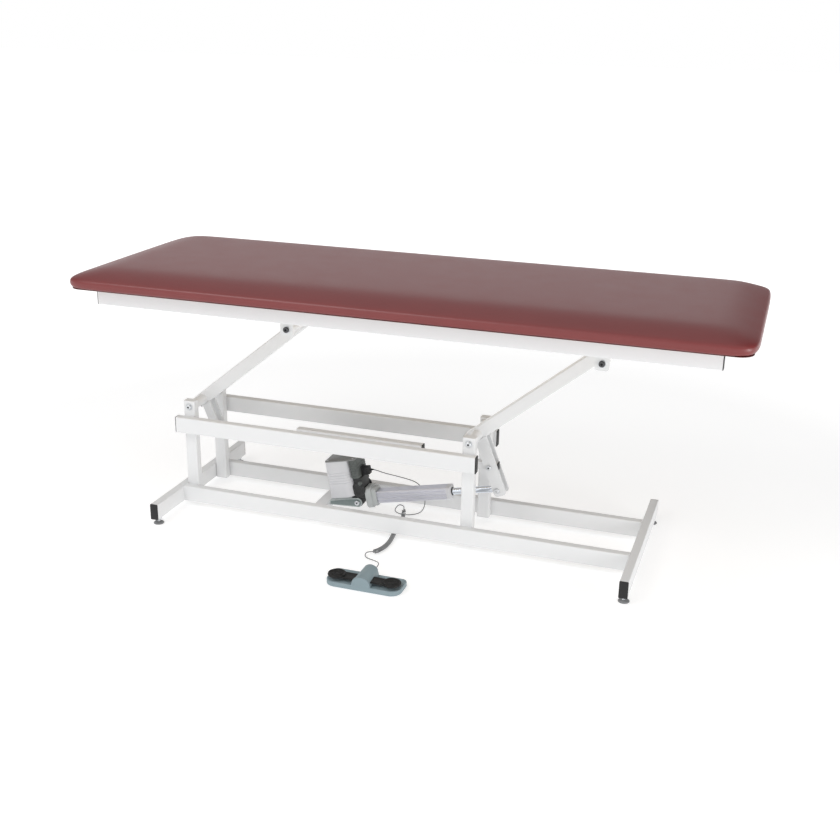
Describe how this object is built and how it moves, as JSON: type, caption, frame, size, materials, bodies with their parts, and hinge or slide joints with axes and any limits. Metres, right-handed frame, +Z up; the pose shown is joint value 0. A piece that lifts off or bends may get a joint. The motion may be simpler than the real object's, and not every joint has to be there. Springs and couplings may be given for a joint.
{
  "type": "treatment table",
  "caption": "Padded treatment table on two parallel lifting arms, with a linear actuator under the top and a two-pad foot pedal on a curly cord.",
  "frame": {"origin": "on the floor, at the middle of the bounding box's underside", "axes": "+X along the table towards the end that the arms lean to, +Y across it away from the side where the pedal lies, +Z up"},
  "size_m": [1.93, 0.809, 0.7862],
  "materials": {
    "white_enamel": "smooth white powder coat",
    "maroon_vinyl": "soft dark red upholstery vinyl",
    "plywood": "bare plywood",
    "zinc_steel": "zinc plated bolts and axles",
    "chrome": "hard chromed rod",
    "aluminium": "anodised ribbed extrusion",
    "grey_plastic": "light grey moulded plastic",
    "dark_casting": "dark grey housing",
    "black_plastic": "black moulded plastic",
    "bracket_paint": "blue-grey paint",
    "pedal_plastic": "blue-grey moulded plastic",
    "cord_rubber": "dark grey cord sheath",
    "foot_rubber": "grey moulded glides"
  },
  "bodies": {
    "base": {"foot_bar_left": "white_enamel", "foot_bar_right": "white_enamel", "lower_rail_near": "white_enamel", "lower_rail_far": "white_enamel", "upper_rail_near": "white_enamel", "upper_rail_far": "white_enamel", "post_near_left": "white_enamel", "post_near_right": "white_enamel", "post_far_left": "white_enamel", "post_far_right": "white_enamel", "lower_axle_left": "zinc_steel", "lower_axle_right": "zinc_steel", "actuator_crossbar": "white_enamel", "actuator_bracket": "bracket_paint", "rear_pin": "zinc_steel", "pedal_base": "pedal_plastic", "pedal_strain_relief": "cord_rubber", "cord_upper_lead": "cord_rubber", "curly_cord": "cord_rubber", "cord_lower_lead": "cord_rubber"},
    "foot_near_left": {"levelling_foot_near_left": "foot_rubber"},
    "foot_far_left": {"levelling_foot_far_left": "foot_rubber"},
    "foot_near_right": {"levelling_foot_near_right": "foot_rubber"},
    "foot_far_right": {"levelling_foot_far_right": "foot_rubber"},
    "left_arm": {"lower_pivot_tube_left": "white_enamel", "upper_pivot_tube_left": "white_enamel", "left_arm": "white_enamel", "left_lever_near": "white_enamel", "left_lever_far": "white_enamel", "link_pin_left": "zinc_steel"},
    "right_arm": {"lower_pivot_tube_right": "white_enamel", "upper_pivot_tube_right": "white_enamel", "right_arm": "white_enamel", "right_lever_near": "white_enamel", "right_lever_far": "white_enamel", "link_pin_right": "zinc_steel"},
    "link": {"tie_link": "white_enamel", "link_stiffener": "white_enamel"},
    "top": {"side_rail_near": "white_enamel", "side_rail_far": "white_enamel", "hanger_left": "white_enamel", "hanger_right": "white_enamel", "ear_near_left": "white_enamel", "ear_far_left": "white_enamel", "ear_near_right": "white_enamel", "ear_far_right": "white_enamel", "upper_axle_left": "zinc_steel", "upper_axle_right": "zinc_steel", "deck_board": "plywood", "cushion": "maroon_vinyl"},
    "actuator": {"gear_housing": "dark_casting", "motor_housing": "grey_plastic", "motor_end_cover": "dark_casting", "cord_connector": "black_plastic", "actuator_collar": "grey_plastic", "outer_tube": "aluminium"},
    "rod": {"piston_rod": "chrome"},
    "pad_left": {"pedal_pad_left": "black_plastic"},
    "pad_right": {"pedal_pad_right": "black_plastic"}
  },
  "joints": [
    {"name": "lift", "type": "hinge", "parent": "base", "child": "right_arm", "pos_m": [0.19305, 0.0615, 0.329], "axis": [0, -1, 0], "range_deg": [-39.1, 25.9]},
    {"name": "left_arm_swing", "type": "hinge", "parent": "base", "child": "left_arm", "pos_m": [-0.71195, 0.0615, 0.329], "axis": [0, -1, 0], "range_deg": [-39.1, 25.9]},
    {"name": "top_level", "type": "hinge", "parent": "right_arm", "child": "top", "pos_m": [0.57254, 0.0615, 0.6374], "axis": [0, -1, 0], "range_deg": [-25.9, 39.1]},
    {"name": "link_level", "type": "hinge", "parent": "right_arm", "child": "link", "pos_m": [0.23227, 0.0615, 0.22945], "axis": [0, -1, 0], "range_deg": [-25.9, 39.1]},
    {"name": "actuator_tilt", "type": "hinge", "parent": "base", "child": "actuator", "pos_m": [-0.1841, 0.0615, 0.0533], "axis": [0, -1, 0], "range_deg": [0, 4.1]},
    {"name": "rod_slide", "type": "slide", "parent": "actuator", "child": "rod", "axis": [0.9781, 0, 0.2079], "range_m": [-0.119, 0.079]},
    {"name": "left_pad_press", "type": "hinge", "parent": "base", "child": "pad_left", "pos_m": [-0.01962, -0.37354, 0.0225], "axis": [0, -1, 0], "range_deg": [0, 5], "stiffness_Nm_per_rad": 8},
    {"name": "right_pad_press", "type": "hinge", "parent": "base", "child": "pad_right", "pos_m": [0.01982, -0.37354, 0.0225], "axis": [0, 1, 0], "range_deg": [0, 5], "stiffness_Nm_per_rad": 8},
    {"name": "near_left_foot_turn", "type": "hinge", "parent": "base", "child": "foot_near_left", "pos_m": [-0.744, -0.2065, 0], "axis": [0, 0, 1], "continuous": true},
    {"name": "far_left_foot_turn", "type": "hinge", "parent": "base", "child": "foot_far_left", "pos_m": [-0.744, 0.3295, 0], "axis": [0, 0, 1], "continuous": true},
    {"name": "near_right_foot_turn", "type": "hinge", "parent": "base", "child": "foot_near_right", "pos_m": [0.6892, -0.2065, 0], "axis": [0, 0, 1], "continuous": true},
    {"name": "far_right_foot_turn", "type": "hinge", "parent": "base", "child": "foot_far_right", "pos_m": [0.6892, 0.3295, 0], "axis": [0, 0, 1], "continuous": true}
  ],
  "couplings": [
    {"joint": "left_arm_swing", "follows": "lift", "ratio": 1},
    {"joint": "top_level", "follows": "lift", "ratio": -1},
    {"joint": "link_level", "follows": "lift", "ratio": -1},
    {"joint": "rod_slide", "follows": "lift", "m_per_rad": 0.1735}
  ]
}
